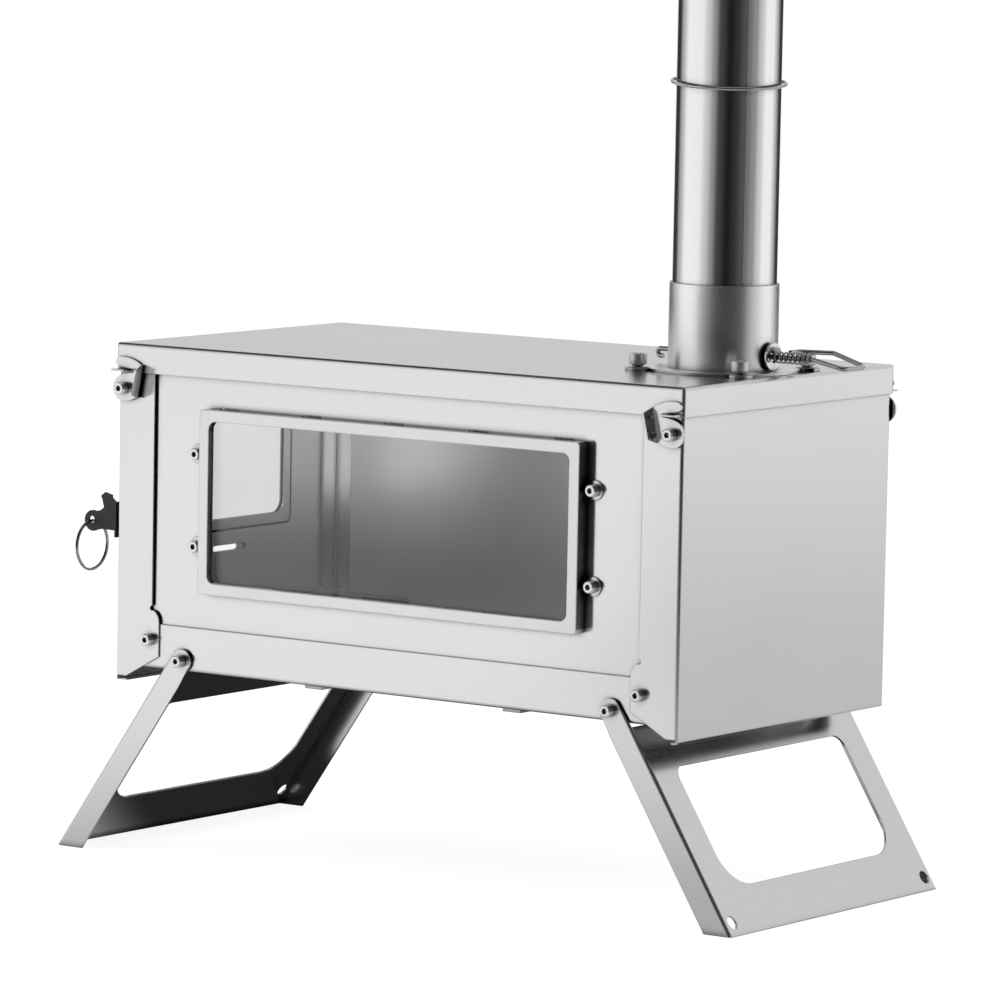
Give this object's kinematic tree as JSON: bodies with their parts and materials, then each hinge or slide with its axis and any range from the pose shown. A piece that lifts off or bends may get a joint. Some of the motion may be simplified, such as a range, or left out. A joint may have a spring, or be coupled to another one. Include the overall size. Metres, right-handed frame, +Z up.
{
  "type": "tent wood stove",
  "caption": "Folding steel tent stove with front window, end loading door, folding leg frames, lid latches and a flue with damper.",
  "frame": {"origin": "on the ground under the middle of the stove's bounding box", "axes": "+Z up along the flue, +X from the loading door to the flue end, -Y towards the window"},
  "size_m": [0.48, 0.2386, 0.56],
  "materials": {
    "brushed_steel": "fine brushed stainless sheet",
    "polished_steel": "polished stainless tube and wire",
    "bright_steel": "bright turned steel",
    "dull_steel": "dull mill steel",
    "black_steel": "black finish, slightly glossy",
    "pane": "clear heat-proof glass, faintly grey",
    "gasket": "woven heat-proof gasket"
  },
  "bodies": {
    "firebox": {"bottom_tray": "brushed_steel", "under_rails": "dull_steel", "right_end_panel": "brushed_steel", "door_end_panel": "brushed_steel", "front_panel": "brushed_steel", "rear_panel": "brushed_steel", "lid": "brushed_steel", "fire_grate": "dull_steel", "window_frame": "brushed_steel", "window_glass": "pane", "window_gasket": "gasket", "window_screws": "bright_steel", "window_washers": "bright_steel", "panel_pivot_screws": "bright_steel", "leg_pivot_screws": "bright_steel", "leg_spacers": "bright_steel", "latch_pivot_screws": "bright_steel", "latch_spacers": "bright_steel", "clamp_nuts": "bright_steel", "flue_collar": "brushed_steel", "collar_studs": "dull_steel", "collar_washers": "bright_steel", "door_hinge_brackets": "dull_steel", "door_hinge_pins": "bright_steel", "latch_catch": "dull_steel", "air_guides": "brushed_steel"},
    "leg_left_frame": {"leg_left": "brushed_steel"},
    "leg_right_frame": {"leg_right": "brushed_steel"},
    "hook_front_left": {"latch_hook_front_left": "bright_steel"},
    "hook_front_right": {"latch_hook_front_right": "bright_steel"},
    "hook_rear_left": {"latch_hook_rear_left": "bright_steel"},
    "hook_rear_right": {"latch_hook_rear_right": "bright_steel"},
    "nut_front_left": {"thumb_nut_front_left": "bright_steel"},
    "nut_front_right": {"thumb_nut_front_right": "bright_steel"},
    "nut_rear_left": {"thumb_nut_rear_left": "bright_steel"},
    "nut_rear_right": {"thumb_nut_rear_right": "bright_steel"},
    "damper": {"damper_rod": "dull_steel", "damper_plate": "dull_steel", "damper_spring": "bright_steel", "damper_washer": "bright_steel"},
    "chimney": {"chimney_pipe": "polished_steel", "pipe_hoop": "polished_steel"},
    "door": {"door_panel": "brushed_steel", "door_glass": "pane", "door_glass_ring": "brushed_steel", "door_screws": "bright_steel", "latch_bracket": "black_steel", "latch_pin": "bright_steel"},
    "lever": {"latch_lever": "black_steel"},
    "ring": {"split_ring": "bright_steel"},
    "air_shutter": {"air_slide": "brushed_steel", "air_knob": "bright_steel"}
  },
  "joints": [
    {"name": "leg_right_fold", "type": "hinge", "parent": "firebox", "child": "leg_right_frame", "pos_m": [0.1544, 0, 0.1189], "axis": [0, 1, 0], "range_deg": [0, 122.2]},
    {"name": "leg_left_fold", "type": "hinge", "parent": "firebox", "child": "leg_left_frame", "pos_m": [-0.1496, 0, 0.1189], "axis": [0, -1, 0], "range_deg": [0, 124.65]},
    {"name": "hook_front_left_turn", "type": "hinge", "parent": "firebox", "child": "hook_front_left", "pos_m": [-0.19335, -0.11, 0.27655], "axis": [0, 1, 0], "range_deg": [0, 80]},
    {"name": "hook_front_right_turn", "type": "hinge", "parent": "firebox", "child": "hook_front_right", "pos_m": [0.19335, -0.11, 0.27655], "axis": [0, -1, 0], "range_deg": [0, 80]},
    {"name": "hook_rear_left_turn", "type": "hinge", "parent": "firebox", "child": "hook_rear_left", "pos_m": [-0.19335, 0.11, 0.27655], "axis": [0, 1, 0], "range_deg": [0, 80]},
    {"name": "hook_rear_right_turn", "type": "hinge", "parent": "firebox", "child": "hook_rear_right", "pos_m": [0.19335, 0.11, 0.27655], "axis": [0, -1, 0], "range_deg": [0, 80]},
    {"name": "nut_front_left_turn", "type": "hinge", "parent": "firebox", "child": "nut_front_left", "pos_m": [0.1183, -0.0347, 0.308], "axis": [0, 0, 1], "continuous": true},
    {"name": "nut_front_right_turn", "type": "hinge", "parent": "firebox", "child": "nut_front_right", "pos_m": [0.1877, -0.0347, 0.308], "axis": [0, 0, 1], "continuous": true},
    {"name": "nut_rear_left_turn", "type": "hinge", "parent": "firebox", "child": "nut_rear_left", "pos_m": [0.1183, 0.0347, 0.308], "axis": [0, 0, 1], "continuous": true},
    {"name": "nut_rear_right_turn", "type": "hinge", "parent": "firebox", "child": "nut_rear_right", "pos_m": [0.1877, 0.0347, 0.308], "axis": [0, 0, 1], "continuous": true},
    {"name": "damper_turn", "type": "hinge", "parent": "firebox", "child": "damper", "pos_m": [0.153, 0, 0.3128], "axis": [1, 0, 0], "range_deg": [0, 90]},
    {"name": "pipe_lift", "type": "slide", "parent": "firebox", "child": "chimney", "axis": [0, 0, 1], "range_m": [0, 0.034]},
    {"name": "door_swing", "type": "hinge", "parent": "firebox", "child": "door", "pos_m": [-0.205, 0.07, 0.2265], "axis": [0, 0, -1], "range_deg": [0, 115]},
    {"name": "lever_lift", "type": "hinge", "parent": "door", "child": "lever", "pos_m": [-0.2085, -0.09, 0.2], "axis": [0, 1, 0], "range_deg": [0, 40]},
    {"name": "ring_swing", "type": "hinge", "parent": "lever", "child": "ring", "pos_m": [-0.23271, -0.09, 0.19429], "axis": [0, 1, 0], "range_deg": [-40, 40]},
    {"name": "air_slide_move", "type": "slide", "parent": "firebox", "child": "air_shutter", "axis": [0, 1, 0], "range_m": [-0.025, 0.007]}
  ]
}
